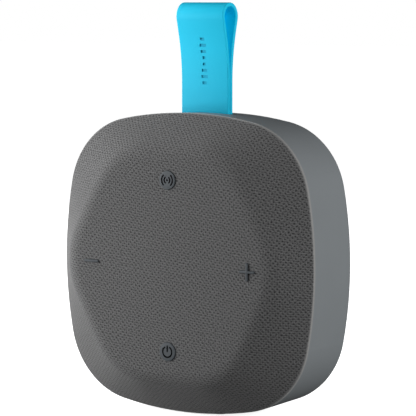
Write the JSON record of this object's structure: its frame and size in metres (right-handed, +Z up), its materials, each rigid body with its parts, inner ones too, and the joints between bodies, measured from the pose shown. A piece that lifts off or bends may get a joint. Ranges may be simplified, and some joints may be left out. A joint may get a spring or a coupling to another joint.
{
  "type": "portable speaker",
  "caption": "Rounded-square portable loudspeaker with a faceted fabric front, pushbuttons, a doubled rubber carry strap and a rear passive radiator.",
  "frame": {"origin": "on the surface the speaker stands on, below the middle of its width and depth", "axes": "+Z up, +X to the right seen from the front, +Y to the back; the fabric front faces -Y"},
  "size_m": [0.11, 0.0416, 0.1505],
  "materials": {
    "fabric_cover": "knitted grey polyester",
    "dark_abs": "black ABS",
    "shell_coat": "grey rubberised soft-touch coat",
    "grille_metal": "powder-coated steel",
    "seal_rubber": "black silicone",
    "zinc_screw": "zinc-plated steel",
    "foot_rubber": "dark grey silicone",
    "circuit_board": "solder-resist green",
    "chip_black": "moulded epoxy",
    "ribbon": "polyimide film",
    "black_steel": "black-coated pressed steel",
    "plated_steel": "zinc-plated steel",
    "ferrite": "ground ferrite",
    "copper_wire": "enamelled copper on a former",
    "paper_cone": "coated paper pulp",
    "spider_cloth": "resin-dipped cotton",
    "lead_sheath": "PVC sheath",
    "strap_silicone": "sky-blue silicone",
    "door_rubber": "grey elastomer over a hard core",
    "cell_wrap": "blue heat-shrink",
    "key_plastic": "grey moulded plastic",
    "switch_plunger": "ivory nylon"
  },
  "bodies": {
    "root": {"fabric_cover": "fabric_cover", "grille_frame": "dark_abs", "rear_shell": "shell_coat", "rear_grille": "grille_metal", "mid_frame": "dark_abs", "case_gasket": "seal_rubber", "case_screws": "zinc_screw", "foot_strip": "foot_rubber", "back_pads": "foot_rubber", "key_board": "circuit_board", "key_board_parts": "chip_black", "key_board_screws": "zinc_screw", "ribbon_cable": "ribbon", "driver_frame": "black_steel", "driver_gasket": "seal_rubber", "driver_top_plate": "plated_steel", "driver_magnet": "ferrite", "driver_yoke": "plated_steel", "cone_surround": "seal_rubber", "cone_spider": "spider_cloth", "driver_terminals": "circuit_board", "driver_screws": "zinc_screw", "driver_leads": "lead_sheath", "radiator_frame": "dark_abs", "radiator_surround": "seal_rubber", "radiator_screws": "zinc_screw", "strap_tail": "strap_silicone", "strap_pin": "plated_steel", "strap_housing": "dark_abs", "port_door_pin": "plated_steel", "usb_socket": "plated_steel", "main_board": "circuit_board", "main_board_parts": "chip_black", "board_screws": "zinc_screw", "battery_cell": "cell_wrap", "battery_cradle": "seal_rubber", "battery_leads": "lead_sheath", "switch_pair": "chip_black", "switch_power": "chip_black", "switch_plus": "chip_black", "switch_minus": "chip_black"},
    "cone": {"driver_cone": "paper_cone", "dust_cap": "paper_cone", "voice_coil": "copper_wire"},
    "radiator": {"radiator_plate": "plated_steel"},
    "strap": {"strap_loop": "strap_silicone"},
    "door": {"port_door": "door_rubber", "port_seal": "door_rubber"},
    "key_pair": {"key_pair": "key_plastic", "plunger_pair": "switch_plunger"},
    "key_power": {"key_power": "key_plastic", "plunger_power": "switch_plunger"},
    "key_plus": {"key_plus": "key_plastic", "plunger_plus": "switch_plunger"},
    "key_minus": {"key_minus": "key_plastic", "plunger_minus": "switch_plunger"}
  },
  "joints": [
    {"name": "press_pair", "type": "slide", "parent": "root", "child": "key_pair", "axis": [0, 1, 0], "range_m": [0, 0.0004], "stiffness_N_per_m": 800, "springref_m": -0.0005},
    {"name": "press_power", "type": "slide", "parent": "root", "child": "key_power", "axis": [0, 1, 0], "range_m": [0, 0.0004], "stiffness_N_per_m": 800, "springref_m": -0.0005},
    {"name": "press_plus", "type": "slide", "parent": "root", "child": "key_plus", "axis": [0, 1, 0], "range_m": [0, 0.0004], "stiffness_N_per_m": 800, "springref_m": -0.0005},
    {"name": "press_minus", "type": "slide", "parent": "root", "child": "key_minus", "axis": [0, 1, 0], "range_m": [0, 0.0004], "stiffness_N_per_m": 800, "springref_m": -0.0005},
    {"name": "cone_excursion", "type": "slide", "parent": "root", "child": "cone", "axis": [0, -1, 0], "range_m": [-0.0015, 0.0015], "stiffness_N_per_m": 1000, "deforming": ["cone_surround", "cone_spider"]},
    {"name": "radiator_excursion", "type": "slide", "parent": "root", "child": "radiator", "axis": [0, 1, 0], "range_m": [-0.002, 0.002], "stiffness_N_per_m": 600, "deforming": ["radiator_surround"]},
    {"name": "strap_flex", "type": "hinge", "parent": "root", "child": "strap", "pos_m": [0, 0.00492, 0.1123], "axis": [1, 0, 0], "range_deg": [-85, 85], "stiffness_Nm_per_rad": 0.012},
    {"name": "door_swing", "type": "hinge", "parent": "root", "child": "door", "pos_m": [-0.05341, 0.00363, 0.06455], "axis": [0, 1, 0], "range_deg": [0, 90]}
  ]
}
